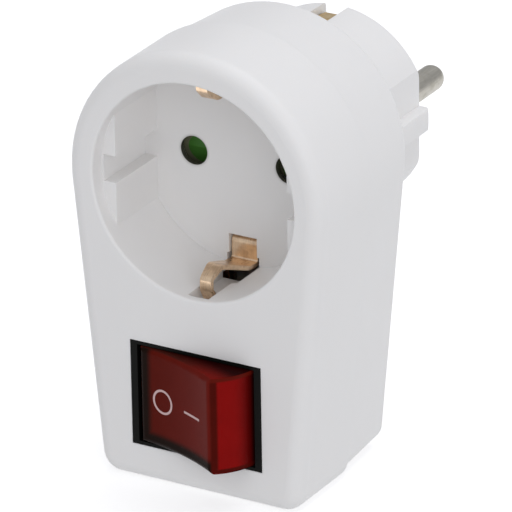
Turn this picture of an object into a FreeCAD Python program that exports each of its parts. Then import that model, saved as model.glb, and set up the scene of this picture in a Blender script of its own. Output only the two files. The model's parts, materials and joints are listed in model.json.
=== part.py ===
# Switched socket adapter: a plug-in mains adapter with an earthed socket and a lit rocker switch.
# Millimetres, +Z up. The origin is midway between the two plug pins, on the end face of the plug
# nose. The pins point along +Y and the socket faces -Y.
import FreeCAD, Part
import math
import os
import Sketcher
from FreeCAD import Placement, Rotation, Vector
from types import SimpleNamespace

doc = FreeCAD.newDocument("switched_socket_adapter")

# Driving sizes, in millimetres and degrees
driving_sizes = {
    "dome_margin": 3.9,
    "base_half_width": 20.0,
    "axis_to_base": 57.0,
    "base_corner_radius": 4.0,
    "cover_depth": 17.2,
    "cover_wall": 2.0,
    "cover_draft": 0.4,
    "face_thickness": 2.2,
    "cover_edge_radius": 2.8,
    "housing_depth": 16.0,
    "housing_wall": 2.0,
    "housing_step": 0.4,
    "housing_draft": 3.6,
    "housing_edge_radius": 1.6,
    "seam_gap": 0.25,
    "tongue_length": 1.5,
    "tongue_thickness": 1.0,
    "rear_wall": 2.2,
    "socket_offset": 1.2,
    "well_radius": 19.9,
    "well_depth": 17.0,
    "floor_thickness": 2.6,
    "cup_wall": 1.5,
    "lip_radius": 0.5,
    "guide_half_distance": 17.0,
    "guide_start": 3.1,
    "key_width": 5.0,
    "key_half_distance": 19.4,
    "pin_spacing": 19.0,
    "pin_hole_radius": 2.7,
    "pin_radius": 2.4,
    "pin_length": 19.0,
    "pin_shank_radius": 2.0,
    "pin_shank_length": 9.0,
    "pin_head_radius": 3.2,
    "pin_head_thickness": 1.0,
    "pin_relief_radius": 3.7,
    "pin_relief_depth": 0.6,
    "pin_boss_radius": 4.2,
    "nose_radius": 18.5,
    "nose_length": 18.4,
    "nose_edge_radius": 1.0,
    "nose_face_thickness": 4.0,
    "nose_cavity_radius": 14.4,
    "nose_flat_half_distance": 16.2,
    "nose_flat_length": 15.6,
    "nose_key_width": 4.0,
    "groove_width": 4.8,
    "groove_floor": 15.8,
    "groove_length": 15.4,
    "earth_sheet": 0.8,
    "earth_strip_width": 4.2,
    "plug_strip_bow": 0.3,
    "plug_strip_end_gap": 1.0,
    "plug_strip_lead": 3.0,
    "earth_bend": 0.8,
    "earth_foot_depth": 2.3,
    "strap_thickness": 0.9,
    "strap_overhang": 2.4,
    "earth_rivet_setback": 3.1,
    "earth_rivet_radius": 0.85,
    "earth_rivet_head_radius": 1.5,
    "earth_rivet_head": 0.5,
    "earth_rivet_edge": 2.5,
    "clip_width": 5.2,
    "clip_nose_width": 2.9,
    "clip_tip_width": 2.1,
    "clip_taper_start": 14.0,
    "clip_leg_inset": 0.9,
    "clip_shelf_depth": 1.0,
    "clip_back_gap": 0.5,
    "clip_heel": 3.0,
    "clip_heel_drop": 0.3,
    "clip_nose_depth": 7.4,
    "clip_nose_bend": 2.0,
    "upper_clip_bow": 4.9,
    "lower_clip_bow": 3.7,
    "clip_front_depth": 4.4,
    "clip_curl_height": 2.3,
    "clip_lip_height": 0.3,
    "clip_tail_depth": 1.3,
    "clip_tail_height": 1.7,
    "window_width": 5.6,
    "window_height": 5.6,
    "slot_width": 4.2,
    "slot_front_depth": 1.5,
    "wide_slot_width": 6.4,
    "wide_slot_depth": 9.4,
    "slot_depth": 2.3,
    "slot_wall": 1.0,
    "screw_spread": 31.6,
    "screw_drop": 25.5,
    "screw_radius": 1.4,
    "screw_length": 17.0,
    "screw_head_radius": 2.7,
    "screw_head_height": 1.8,
    "screw_head_edge": 0.6,
    "screw_cross_length": 3.2,
    "screw_cross_width": 0.8,
    "screw_cross_depth": 1.0,
    "screw_boss_radius": 3.0,
    "screw_pillar_radius": 3.8,
    "screw_sink": 8.0,
    "fit_gap": 0.1,
    "running_gap": 0.05,
    "overcut": 1.0,
    "shutter_thickness": 2.2,
    "shutter_radius": 13.4,
    "shutter_wing_angle": 42.0,
    "shutter_hub_radius": 3.2,
    "shutter_ramp_angle": 16.0,
    "shutter_recess": 1.6,
    "shutter_ramp_start": 4.5,
    "shutter_ramp_offset": 0.5,
    "pivot_radius": 1.5,
    "pivot_sink": 2.0,
    "slide_gap": 0.3,
    "carrier_margin": 1.5,
    "carrier_rim": 1.4,
    "carrier_web": 1.2,
    "carrier_boss_wall": 1.0,
    "carrier_boss_depth": 2.4,
    "contact_wall": 0.8,
    "contact_length": 7.0,
    "contact_slit": 1.2,
    "contact_tab": 2.4,
    "contact_tab_length": 3.2,
    "contact_tab_root": 0.3,
    "contact_tab_start": 0.8,
    "carrier_leg_radius": 1.3,
    "clip_pad_height": 1.5,
    "contact_chamber": 7.2,
    "shutter_wire": 0.35,
    "shutter_coil_radius": 2.4,
    "shutter_coil_turns": 1.75,
    "shutter_spring_room": 1.6,
    "bar_width": 2.4,
    "plug_bar_drop": 6.9,
    "plug_bar_depth": 2.6,
    "plug_bar_overlap": 1.9,
    "contact_bar_drop": 4.6,
    "switch_drop": 39.9,
    "switch_width": 26.2,
    "switch_height": 20.0,
    "switch_side_wall": 1.3,
    "switch_end_wall": 0.6,
    "switch_depth": 17.0,
    "switch_floor": 1.5,
    "switch_flange": 1.0,
    "switch_flange_thickness": 2.0,
    "switch_flange_height": 15.0,
    "switch_partition": 1.2,
    "switch_partition_length": 7.0,
    "switch_partition_depth": 4.0,
    "arm_stop_width": 1.2,
    "arm_stop_height": 2.0,
    "switch_rib_thickness": 1.6,
    "switch_rib_gap": 0.7,
    "switch_rib_height": 12.0,
    "rocker_side_gap": 0.15,
    "rocker_end_gap": 0.3,
    "rocker_pivot_depth": 3.2,
    "rocker_rise": 7.0,
    "rocker_dish": 0.95,
    "rocker_skirt_angle": 14.0,
    "rocker_wall": 1.4,
    "rocker_tilt": 19.0,
    "rocker_edge_radius": 1.0,
    "rocker_pin_radius": 1.6,
    "rocker_pin_length": 0.7,
    "pole_offset": 4.6,
    "plunger_radius": 1.3,
    "plunger_length": 6.2,
    "plunger_reach": 8.4,
    "plunger_spring_room": 3.6,
    "guide_wall": 0.8,
    "guide_reach": 4.35,
    "plunger_wire": 0.3,
    "plunger_coil_radius": 1.05,
    "arm_tilt": 7.0,
    "arm_thickness": 0.8,
    "arm_width": 3.4,
    "arm_half_length": 8.6,
    "arm_flat_start": 5.2,
    "arm_trough_half_width": 3.6,
    "arm_trough_angle": 10.0,
    "arm_bend": 0.6,
    "arm_pivot_gap": 0.15,
    "rivet_radius": 1.3,
    "rivet_height": 0.8,
    "closed_gap": 0.1,
    "terminal_thickness": 0.8,
    "terminal_width": 3.2,
    "terminal_tail_width": 1.6,
    "terminal_offset": 7.4,
    "terminal_tail_stand": 0.3,
    "lamp_distance": 6.2,
    "lamp_radius": 1.9,
    "lamp_length": 8.0,
    "resistor_distance": 4.6,
    "resistor_radius": 1.0,
    "resistor_length": 5.0,
}

sheet = doc.addObject("Spreadsheet::Sheet", "sizes")
for row, (alias, number) in enumerate(driving_sizes.items(), start=1):
    sheet.set(f"A{row}", alias)
    sheet.set(f"B{row}", str(number))
    sheet.setAlias(f"B{row}", alias)
doc.recompute()


class Measure(float):
    """A number that remembers the spreadsheet expression it came from."""

    def __new__(cls, number, text=None):
        made = super().__new__(cls, number)
        made.text = text or repr(float(number))
        return made

    def joined(self, other, sign, number):
        other_text = other.text if isinstance(other, Measure) else repr(float(other))
        return Measure(number, f"({self.text} {sign} {other_text})")

    def __add__(self, other):
        return self.joined(other, "+", float(self) + float(other))

    def __sub__(self, other):
        return self.joined(other, "-", float(self) - float(other))

    def __mul__(self, other):
        return self.joined(other, "*", float(self) * float(other))

    def __truediv__(self, other):
        return self.joined(other, "/", float(self) / float(other))

    def __neg__(self):
        return Measure(-float(self), f"(-1 * {self.text})")

    def __radd__(self, other):
        return Measure(other) + self

    def __rsub__(self, other):
        return Measure(other) - self

    def __rmul__(self, other):
        return Measure(other) * self


s = SimpleNamespace(**{name: Measure(sheet.get(name), f"sizes.{name}") for name in driving_sizes})

# Where the main planes and axes lie
front = -(s.cover_depth + s.housing_depth + s.nose_length)
seam = front + s.cover_depth
rear = seam + s.housing_depth
axis = s.socket_offset
well_floor = front + s.well_depth
floor_back = well_floor + s.floor_thickness
inner_rear = rear - s.rear_wall
carrier_front = floor_back + s.shutter_thickness + 2 * s.slide_gap
switch_axis = axis - s.switch_drop
rocker_pivot = front + s.rocker_pivot_depth
pin_x = s.pin_spacing / 2
cup_radius = s.well_radius + s.cup_wall
dome_radius = cup_radius + s.dome_margin
slot_reach = s.well_radius + s.slot_depth
window_start = s.well_radius - s.window_height
clip_leg = window_start + s.clip_leg_inset
strip_lie = s.groove_floor + s.earth_sheet / 2 + s.fit_gap
earth_rivet_distance = min(clip_leg, strip_lie - axis) - s.earth_rivet_setback
carrier_radius = s.well_radius - s.carrier_margin
nose_end = 0.0
clip_foot_y = carrier_front + s.earth_foot_depth
strap_front = clip_foot_y + s.earth_sheet / 2 + s.running_gap
strap_rear = strap_front + s.strap_thickness
strip_foot_y = strap_rear + s.running_gap + s.earth_sheet / 2
switch_floor_y = front + s.switch_depth - s.switch_floor
switch_room_width = s.switch_width - 2 * s.fit_gap - 2 * s.switch_side_wall
switch_room_height = s.switch_height - 2 * s.fit_gap - 2 * s.switch_end_wall
rocker_radius = switch_room_width / 2 - s.rocker_end_gap
rocker_height = switch_room_height - 2 * s.rocker_side_gap
y_axis = Vector(0, 1, 0)
screw_spots = [(side * s.screw_spread / 2, axis - s.screw_drop) for side in (-1, 1)]
nodes = []


def bind(item, path, amount):
    item.setExpression(path, amount.text if isinstance(amount, Measure) else repr(float(amount)))


def place(item, x, y, z):
    for path, amount in (("x", x), ("y", y), ("z", z)):
        bind(item, f".Placement.Base.{path}", amount)


def keep(item, name):
    item.Label = name
    nodes.append(item)
    return item


# Part primitives and booleans
def box(name, x, y, z, length, width, height):
    item = doc.addObject("Part::Box", name)
    place(item, x, y, z)
    bind(item, "Length", length)
    bind(item, "Width", width)
    bind(item, "Height", height)
    return item


def slab(name, width, height, y, depth, x=0.0, z=0.0):
    """A box centred on x and z that runs from y towards the rear."""
    return box(name, x - width / 2, y, z - height / 2, width, depth, height)


def rod(name, x, y, z, radius, length, direction=y_axis):
    item = doc.addObject("Part::Cylinder", name)
    item.Placement = Placement(Vector(), Rotation(Vector(0, 0, 1), direction))
    place(item, x, y, z)
    bind(item, "Radius", radius)
    bind(item, "Height", length)
    return item


def fused(name, pieces):
    item = doc.addObject("Part::MultiFuse", name)
    item.Shapes = pieces
    item.Refine = True
    return item


def cut(name, base, tools):
    item = doc.addObject("Part::Cut", name)
    item.Base = base
    item.Tool = tools[0] if len(tools) == 1 else fused(name + "_tools", tools)
    item.Refine = True
    return item


def solid_node(name, shape, placement=None):
    item = doc.addObject("Part::Feature", name)
    item.Shape = shape
    if placement:
        item.Placement = placement
    return keep(item, name)


# Bodies, sketches and their features
def new_body(name):
    return keep(doc.addObject("PartDesign::Body", name), name)


def origin_plane(body, role):
    return next(plane for plane in body.Origin.OriginFeatures if plane.Role == role)


def sketch_facing_front(body, name, y):
    """A sketch in the X-Z plane at this y, whose normal points to the front."""
    sketch = body.newObject("Sketcher::SketchObject", name)
    sketch.AttachmentSupport = [(origin_plane(body, "XZ_Plane"), "")]
    sketch.MapMode = "FlatFace"
    bind(sketch, "AttachmentOffset.Base.z", -y)
    return sketch


def dimension(sketch, kind, amount, *where):
    index = sketch.addConstraint(Sketcher.Constraint(kind, *where, float(amount)))
    bind(sketch, f"Constraints[{index}]", amount)


def draw_circle(sketch, x, z, radius):
    circle = sketch.addGeometry(Part.Circle(Vector(x, z, 0), Vector(0, 0, 1), radius))
    dimension(sketch, "Radius", radius, circle)
    dimension(sketch, "DistanceX", x, circle, 3)
    dimension(sketch, "DistanceY", z, circle, 3)


def draw_polygon(sketch, corners):
    lines = []
    for start, end in zip(corners, corners[1:] + corners[:1]):
        lines.append(sketch.addGeometry(Part.LineSegment(Vector(*start, 0), Vector(*end, 0))))
    for line, following in zip(lines, lines[1:] + lines[:1]):
        sketch.addConstraint(Sketcher.Constraint("Coincident", line, 2, following, 1))
    for line, (x, z) in zip(lines, corners):
        dimension(sketch, "DistanceX", x, line, 1)
        dimension(sketch, "DistanceY", z, line, 1)


def draw_rectangle(sketch, width, bottom, top, x=0.0):
    left = x - width / 2
    right = x + width / 2
    draw_polygon(sketch, [(left, bottom), (right, bottom), (right, top), (left, top)])


def draw_outline(sketch, inset):
    """The adapter's front view: a dome whose sides run down, drawn in, to a base with round corners."""
    radius = dome_radius - inset
    half_width = s.base_half_width - inset
    drop = s.axis_to_base - inset
    corner = s.base_corner_radius
    centre = Vector(0, axis, 0)
    foot = centre + Vector(half_width, -drop, 0)
    reach = math.hypot(half_width, drop)
    lean = math.atan2(-drop, half_width) + math.acos(radius / reach)
    shoulder = centre + Vector(radius * math.cos(lean), radius * math.sin(lean), 0)
    up_side = (shoulder - foot).normalize()
    opening = math.acos(up_side.dot(Vector(-1, 0, 0)))
    side_end = foot + up_side * (corner / math.tan(opening / 2))
    base_end = foot - Vector(corner / math.tan(opening / 2), 0, 0)
    bisector = (up_side + Vector(-1, 0, 0)).normalize()
    corner_centre = foot + bisector * (corner / math.sin(opening / 2))

    def mirrored(point):
        return Vector(-point.x, point.y, 0)

    def angle_at(middle, point):
        return math.atan2(point.y - middle.y, point.x - middle.x)

    def arc(middle, size, start, end):
        circle = Part.Circle(middle, Vector(0, 0, 1), size)
        return sketch.addGeometry(Part.ArcOfCircle(circle, angle_at(middle, start), angle_at(middle, end)))

    dome = arc(centre, radius, shoulder, mirrored(shoulder))
    left = sketch.addGeometry(Part.LineSegment(mirrored(shoulder), mirrored(side_end)))
    left_corner = arc(mirrored(corner_centre), corner, mirrored(side_end), mirrored(base_end))
    base = sketch.addGeometry(Part.LineSegment(mirrored(base_end), base_end))
    right_corner = arc(corner_centre, corner, base_end, side_end)
    right = sketch.addGeometry(Part.LineSegment(side_end, shoulder))
    loop = [(dome, 2, left, 1), (left, 2, left_corner, 1), (left_corner, 2, base, 1)]
    loop += [(base, 2, right_corner, 1), (right_corner, 2, right, 1), (right, 2, dome, 1)]
    for joint in loop:
        sketch.addConstraint(Sketcher.Constraint("Tangent", *joint))
    foot_point = sketch.addGeometry(Part.Point(foot), True)
    sketch.addConstraint(Sketcher.Constraint("PointOnObject", foot_point, 1, right))
    sketch.addConstraint(Sketcher.Constraint("PointOnObject", foot_point, 1, base))
    sketch.addConstraint(Sketcher.Constraint("Symmetric", base, 1, base, 2, -2))
    sketch.addConstraint(Sketcher.Constraint("PointOnObject", dome, 3, -2))
    dimension(sketch, "DistanceY", axis, dome, 3)
    dimension(sketch, "Radius", radius, dome)
    dimension(sketch, "Radius", corner, left_corner)
    dimension(sketch, "Radius", corner, right_corner)
    dimension(sketch, "DistanceX", half_width, foot_point, 1)
    dimension(sketch, "DistanceY", axis - drop, foot_point, 1)


def feature(body, kind, name, profile, length, reverse=False, draft=None):
    """A pad or pocket of a sketch, which must change the body's volume the way its kind says."""
    before = body.Shape.Volume if body.Tip else 0.0
    item = body.newObject(f"PartDesign::{kind}", name)
    item.Profile = profile
    bind(item, "Length", length)
    item.Reversed = reverse
    if draft:
        bind(item, "TaperAngle", draft)
    profile.Visibility = False
    doc.recompute()
    grown = body.Shape.Volume - before
    if (grown <= 0) if kind == "Pad" else (grown >= 0):
        raise RuntimeError(f"{name} points the wrong way")
    return item


def round_edges(body, name, radius, wanted):
    """A fillet on the edges of the body that pass the test."""
    base = body.Tip
    names = [f"Edge{i}" for i, edge in enumerate(base.Shape.Edges, start=1) if wanted(edge)]
    if not names:
        raise RuntimeError(f"{name} finds no edge")
    item = body.newObject("PartDesign::Fillet", name)
    item.Base = (base, names)
    bind(item, "Radius", radius)
    doc.recompute()
    return item


def lies_at(edge, y):
    bounds = edge.BoundBox
    return abs(bounds.YMin - y) < 1e-4 and abs(bounds.YMax - y) < 1e-4


def is_ring(edge, radius):
    return hasattr(edge.Curve, "Radius") and abs(edge.Curve.Radius - radius) < 1e-4


# The front cover: face, dome, socket well and switch opening in one moulding
def make_front_cover():
    body = new_body("front_cover")
    shell = sketch_facing_front(body, "cover_outline", seam)
    draw_outline(shell, 0.0)
    feature(body, "Pad", "cover_block", shell, s.cover_depth, draft=-s.cover_draft)
    round_edges(body, "cover_front_edge", s.cover_edge_radius, lambda edge: lies_at(edge, front))

    hollow = sketch_facing_front(body, "cover_inside", seam)
    draw_outline(hollow, s.cover_wall)
    hollow_depth = s.cover_depth - s.face_thickness
    feature(body, "Pocket", "cover_hollow", hollow, hollow_depth, reverse=True, draft=-s.cover_draft)

    cup = sketch_facing_front(body, "cup_outline", floor_back)
    draw_circle(cup, 0.0, axis, cup_radius)
    cup_length = s.well_depth + s.floor_thickness - s.face_thickness / 2
    feature(body, "Pad", "cup", cup, cup_length)

    # a chamber outside the cup closes each earth clip's slot, as far back as the housing's tongue,
    # and the upper one runs into the dome
    chamber_rear = seam - s.tongue_length - s.slide_gap
    chamber_ends = {1: dome_radius - s.cover_wall / 2, -1: slot_reach + s.slot_wall}
    for side, word in ((1, "upper"), (-1, "lower")):
        chamber = sketch_facing_front(body, f"{word}_chamber_outline", chamber_rear)
        ends = sorted((side * s.well_radius, side * chamber_ends[side]))
        draw_rectangle(chamber, s.wide_slot_width + 2 * s.slot_wall, axis + ends[0], axis + ends[1])
        feature(body, "Pad", f"{word}_chamber", chamber, chamber_rear - front - s.face_thickness / 2)

    bosses = sketch_facing_front(body, "screw_boss_outlines", seam)
    for spot in screw_spots:
        draw_circle(bosses, *spot, s.screw_boss_radius)
    feature(body, "Pad", "screw_bosses", bosses, s.cover_depth - s.face_thickness / 2)

    mouth = sketch_facing_front(body, "well_mouth", front)
    draw_circle(mouth, 0.0, axis, s.well_radius)
    feature(body, "Pocket", "mouth", mouth, s.guide_start)
    round_edges(
        body,
        "rounded_lip",
        s.lip_radius,
        lambda edge: lies_at(edge, front) and is_ring(edge, s.well_radius),
    )

    well = sketch_facing_front(body, "well_section", front)
    draw_well_section(well)
    feature(body, "Pocket", "well", well, s.well_depth)

    holes = sketch_facing_front(body, "pin_holes", front)
    for side in (-1, 1):
        draw_circle(holes, side * pin_x, axis, s.pin_hole_radius)
    feature(body, "Pocket", "pin_hole_pair", holes, s.well_depth + 2 * s.floor_thickness)

    # the shutter's wings sweep in a ring-shaped recess behind the floor
    recess = sketch_facing_front(body, "shutter_recess_outline", floor_back)
    draw_circle(recess, 0.0, axis, s.shutter_hub_radius)
    draw_circle(recess, 0.0, axis, s.shutter_radius + s.slide_gap)
    feature(body, "Pocket", "shutter_recess", recess, s.shutter_recess, reverse=True)

    # an earth clip comes through the floor and lies in a stepped slot, above and below
    for side, word in ((1, "upper"), (-1, "lower")):
        window = sketch_facing_front(body, f"{word}_clip_window", floor_back)
        ends = sorted((side * window_start, side * slot_reach))
        draw_rectangle(window, s.window_width, axis + ends[0], axis + ends[1])
        feature(body, "Pocket", f"{word}_window", window, s.floor_thickness + s.fit_gap, reverse=True)
        ends = sorted((side * s.well_radius * 0.9, side * slot_reach))
        wide = sketch_facing_front(body, f"{word}_wide_slot_outline", floor_back)
        draw_rectangle(wide, s.wide_slot_width, axis + ends[0], axis + ends[1])
        wide_length = s.well_depth + s.floor_thickness - s.wide_slot_depth
        feature(body, "Pocket", f"{word}_wide_slot", wide, wide_length, reverse=True)
        narrow = sketch_facing_front(body, f"{word}_slot_outline", floor_back)
        draw_rectangle(narrow, s.slot_width, axis + ends[0], axis + ends[1])
        narrow_length = s.well_depth + s.floor_thickness - s.slot_front_depth
        feature(body, "Pocket", f"{word}_slot", narrow, narrow_length, reverse=True)

    opening = sketch_facing_front(body, "switch_opening_outline", front)
    half = s.switch_height / 2
    draw_rectangle(opening, s.switch_width, switch_axis - half, switch_axis + half)
    feature(body, "Pocket", "switch_opening", opening, s.face_thickness + s.fit_gap)

    pilots = sketch_facing_front(body, "screw_pilot_outlines", seam)
    for spot in screw_spots:
        draw_circle(pilots, *spot, s.screw_radius + s.running_gap)
    feature(body, "Pocket", "screw_pilots", pilots, s.cover_depth - 2 * s.face_thickness, reverse=True)
    return body


def draw_well_section(sketch):
    """The well inside its guides: a circle with a flat on each side, and a key groove in each flat."""
    flat = s.guide_half_distance
    key = s.key_half_distance
    half_key = s.key_width / 2
    corner = math.sqrt(s.well_radius**2 - flat**2)
    centre = Vector(0, axis, 0)
    rim = Part.Circle(centre, Vector(0, 0, 1), s.well_radius)
    turn = math.atan2(corner, flat)
    top = sketch.addGeometry(Part.ArcOfCircle(rim, turn, math.pi - turn))
    bottom = sketch.addGeometry(Part.ArcOfCircle(rim, math.pi + turn, 2 * math.pi - turn))
    sides = {}
    for side in (-1, 1):
        heights = [corner, half_key, half_key, -half_key, -half_key, -corner]
        reaches = [flat, flat, key, key, flat, flat]
        points = [Vector(side * reach, axis + height, 0) for reach, height in zip(reaches, heights)]
        lines = [
            sketch.addGeometry(Part.LineSegment(start, end)) for start, end in zip(points, points[1:])
        ]
        for line, following in zip(lines, lines[1:]):
            sketch.addConstraint(Sketcher.Constraint("Coincident", line, 2, following, 1))
        for line in (lines[0], lines[2], lines[4]):
            sketch.addConstraint(Sketcher.Constraint("Vertical", line))
        for line in (lines[1], lines[3]):
            sketch.addConstraint(Sketcher.Constraint("Horizontal", line))
        dimension(sketch, "DistanceX", side * flat, lines[0], 1)
        dimension(sketch, "DistanceX", side * flat, lines[4], 1)
        dimension(sketch, "DistanceX", side * key, lines[2], 1)
        dimension(sketch, "DistanceY", axis + half_key, lines[1], 1)
        dimension(sketch, "DistanceY", axis - half_key, lines[3], 1)
        sides[side] = lines
    sketch.addConstraint(Sketcher.Constraint("Coincident", top, 1, sides[1][0], 1))
    sketch.addConstraint(Sketcher.Constraint("Coincident", top, 2, sides[-1][0], 1))
    sketch.addConstraint(Sketcher.Constraint("Coincident", bottom, 1, sides[-1][4], 2))
    sketch.addConstraint(Sketcher.Constraint("Coincident", bottom, 2, sides[1][4], 2))
    for arc in (top, bottom):
        sketch.addConstraint(Sketcher.Constraint("PointOnObject", arc, 3, -2))
        dimension(sketch, "DistanceY", axis, arc, 3)
        dimension(sketch, "Radius", s.well_radius, arc)


# The rear housing: a tapered shell with the plug nose on it
def make_rear_housing():
    body = new_body("rear_housing")
    edge_y = seam + s.seam_gap
    shell = sketch_facing_front(body, "housing_outline", edge_y)
    draw_outline(shell, s.housing_step)
    draft = -s.housing_draft
    depth = s.housing_depth - s.seam_gap
    feature(body, "Pad", "housing_block", shell, depth, reverse=True, draft=draft)
    round_edges(body, "housing_rear_edge", s.housing_edge_radius, lambda edge: lies_at(edge, rear))

    nose = sketch_facing_front(body, "nose_outline", nose_end)
    draw_circle(nose, 0.0, 0.0, s.nose_radius)
    feature(body, "Pad", "nose", nose, s.nose_length + s.rear_wall / 2)
    round_edges(body, "nose_end_edge", s.nose_edge_radius, lambda edge: lies_at(edge, 0.0))

    inside = sketch_facing_front(body, "housing_inside", edge_y)
    draw_outline(inside, s.housing_step + s.housing_wall)
    feature(body, "Pocket", "housing_hollow", inside, depth - s.rear_wall, draft=draft)

    cavity = sketch_facing_front(body, "nose_cavity_outline", inner_rear)
    draw_circle(cavity, 0.0, 0.0, s.nose_cavity_radius)
    feature(body, "Pocket", "nose_cavity", cavity, s.nose_length + s.rear_wall - s.nose_face_thickness)

    bosses = sketch_facing_front(body, "pin_boss_outlines", -s.nose_face_thickness / 2)
    for side in (-1, 1):
        draw_circle(bosses, side * pin_x, 0.0, s.pin_boss_radius)
    feature(body, "Pad", "pin_bosses", bosses, s.pin_shank_length - s.nose_face_thickness / 2)

    flats = sketch_facing_front(body, "guide_flats", nose_end)
    key = s.nose_key_width / 2
    reach = s.nose_radius
    for side in (-1, 1):
        for low, high in ((key, reach), (-reach, -key)):
            middle = side * (s.nose_flat_half_distance + reach) / 2
            width = reach - s.nose_flat_half_distance + s.overcut
            draw_rectangle(flats, width, low, high, middle + side * s.overcut / 2)
    feature(body, "Pocket", "guide_flat_cuts", flats, s.nose_flat_length, reverse=True)

    grooves = sketch_facing_front(body, "earth_grooves", nose_end)
    beyond = reach + s.overcut
    for ends in ((s.groove_floor, beyond), (-beyond, -s.groove_floor)):
        draw_rectangle(grooves, s.groove_width, *ends)
    feature(body, "Pocket", "earth_groove_cuts", grooves, s.groove_length, reverse=True)

    passages = sketch_facing_front(body, "earth_strip_passages", inner_rear)
    room = s.earth_sheet + 2 * s.fit_gap
    for low in (s.groove_floor, -s.groove_floor - room):
        draw_rectangle(passages, s.groove_width, low, low + room)
    passage = s.rear_wall + s.nose_length - s.groove_length + s.overcut / 2
    feature(body, "Pocket", "earth_passages", passages, passage)

    reliefs = sketch_facing_front(body, "pin_reliefs", nose_end)
    shanks = sketch_facing_front(body, "pin_shank_holes", nose_end)
    for side in (-1, 1):
        draw_circle(reliefs, side * pin_x, 0.0, s.pin_relief_radius)
        draw_circle(shanks, side * pin_x, 0.0, s.pin_shank_radius + s.running_gap)
    feature(body, "Pocket", "pin_relief_cuts", reliefs, s.pin_relief_depth, reverse=True)
    feature(body, "Pocket", "pin_shank_cuts", shanks, s.pin_shank_length + s.overcut, reverse=True)

    pillars = sketch_facing_front(body, "screw_pillar_outlines", rear - s.rear_wall / 2)
    sinks = sketch_facing_front(body, "screw_head_sinks", rear)
    holes = sketch_facing_front(body, "screw_holes", rear)
    for spot in screw_spots:
        draw_circle(pillars, *spot, s.screw_pillar_radius)
        draw_circle(sinks, *spot, s.screw_head_radius + s.slide_gap)
        draw_circle(holes, *spot, s.screw_radius + s.fit_gap)
    feature(body, "Pad", "screw_pillars", pillars, s.housing_depth - s.rear_wall / 2 - s.fit_gap)
    feature(body, "Pocket", "screw_sink_cuts", sinks, s.screw_sink, reverse=True)
    feature(body, "Pocket", "screw_hole_cuts", holes, s.housing_depth, reverse=True)

    # two ribs back the switch's ends, outside the bars
    rib_y = front + s.switch_depth + s.running_gap
    ribs = sketch_facing_front(body, "switch_rib_outlines", rib_y)
    half = s.switch_rib_height / 2
    rib_x = pin_x + s.bar_width / 2 + s.switch_rib_gap + s.switch_rib_thickness / 2
    for side in (-1, 1):
        draw_rectangle(ribs, s.switch_rib_thickness, switch_axis - half, switch_axis + half, side * rib_x)
    feature(body, "Pad", "switch_ribs", ribs, inner_rear + s.rear_wall / 2 - rib_y, reverse=True)

    tongue = sketch_facing_front(body, "tongue_outline", seam + s.housing_wall)
    draw_outline(tongue, s.cover_wall + s.fit_gap)
    draw_outline(tongue, s.cover_wall + s.fit_gap + s.tongue_thickness)
    feature(body, "Pad", "tongue", tongue, s.tongue_length + s.housing_wall)
    return body


def bent_profile(points, thickness, bends):
    """The edge-on outline of a folded strip: a line of constant thickness with round bends."""
    points = [Vector(0, *point) for point in points]
    if isinstance(bends, float):
        bends = [bends] * (len(points) - 2)
    sides = []
    for side in (-1, 1):
        trail = []
        for index, point in enumerate(points):
            before = (point - points[index - 1]).normalize() if index else None
            after = (points[index + 1] - point).normalize() if index < len(points) - 1 else None
            if before is None or after is None:
                along = after or before
                trail.append((point + Vector(0, -along.z, along.y) * (side * thickness / 2),))
                continue
            turn = before.getAngle(after)
            bend = bends[index - 1]
            back = bend * math.tan(turn / 2)
            start = point - before * back
            end = point + after * back
            start_side = start + Vector(0, -before.z, before.y) * (side * thickness / 2)
            end_side = end + Vector(0, -after.z, after.y) * (side * thickness / 2)
            outward = (before - after).normalize()
            middle = (point + (after - before).normalize() * (bend / math.cos(turn / 2)))
            rim = (start_side - middle).Length
            trail.append((start_side, middle + outward * rim, end_side))
        sides.append(trail)
    edges = []
    for trail in sides:
        for stop, following in zip(trail, trail[1:] + [None]):
            if len(stop) == 3:
                edges.append(Part.Arc(*stop).toShape())
            if following:
                edges.append(Part.makeLine(stop[-1], following[0]))
    edges.append(Part.makeLine(sides[0][0][0], sides[1][0][0]))
    edges.append(Part.makeLine(sides[0][-1][-1], sides[1][-1][-1]))
    return Part.Face(Part.Wire(Part.__sortEdges__(edges)))


def folded_strip(points, width, thickness, bends, x=0.0):
    """A sheet strip folded along its length, in the Y-Z plane, centred on x."""
    face = bent_profile(points, thickness, bends)
    face.translate(Vector(x - width / 2, 0, 0))
    return face.extrude(Vector(width, 0, 0))


def plan_plate(corners, y, thickness):
    """A flat plate with this outline in X and Z, from y towards the rear."""
    wire = Part.makePolygon([Vector(x, y, z) for x, z in corners + corners[:1]])
    return Part.Face(wire).extrude(Vector(0, thickness, 0))


def arc_points(start, heading, end):
    """Start, middle and end of the arc that sets off in this direction."""
    chord = end - start
    aside = (chord - heading * chord.dot(heading)).normalize()
    centre = start + aside * (chord.Length**2 / (2 * chord.dot(aside)))
    middle = ((start - centre) + (end - centre)).normalize()
    return start, centre + middle * (start - centre).Length, end


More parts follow.
